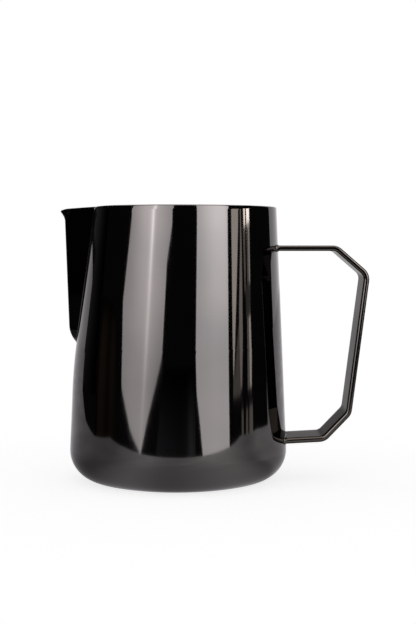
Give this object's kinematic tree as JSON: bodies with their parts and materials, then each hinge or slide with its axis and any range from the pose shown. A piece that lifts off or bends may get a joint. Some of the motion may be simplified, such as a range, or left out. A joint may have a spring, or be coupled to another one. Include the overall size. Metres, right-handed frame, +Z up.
{
  "type": "milk frothing pitcher",
  "caption": "Straight-sided open steel pitcher with a sharp V-shaped pouring spout, pressed-in cheeks and an open bent-strap handle.",
  "frame": {"origin": "centre of the circular foot, in the plane the pitcher stands on", "axes": "+Z up along the body's axis; -X towards the spout, +X towards the handle; the XZ plane is the plane of symmetry"},
  "size_m": [0.125, 0.0878, 0.11],
  "materials": {
    "body_steel": "mirror-polished, black titanium coated",
    "handle_steel": "mirror-polished, black titanium coated",
    "weld_steel": "dressed and polished weld, black titanium coated"
  },
  "bodies": {
    "root": {"body_shell": "body_steel", "spout": "body_steel", "spout_seam": "weld_steel", "handle_strap": "handle_steel", "upper_handle_weld": "weld_steel", "lower_handle_weld": "weld_steel"}
  },
  "joints": []
}
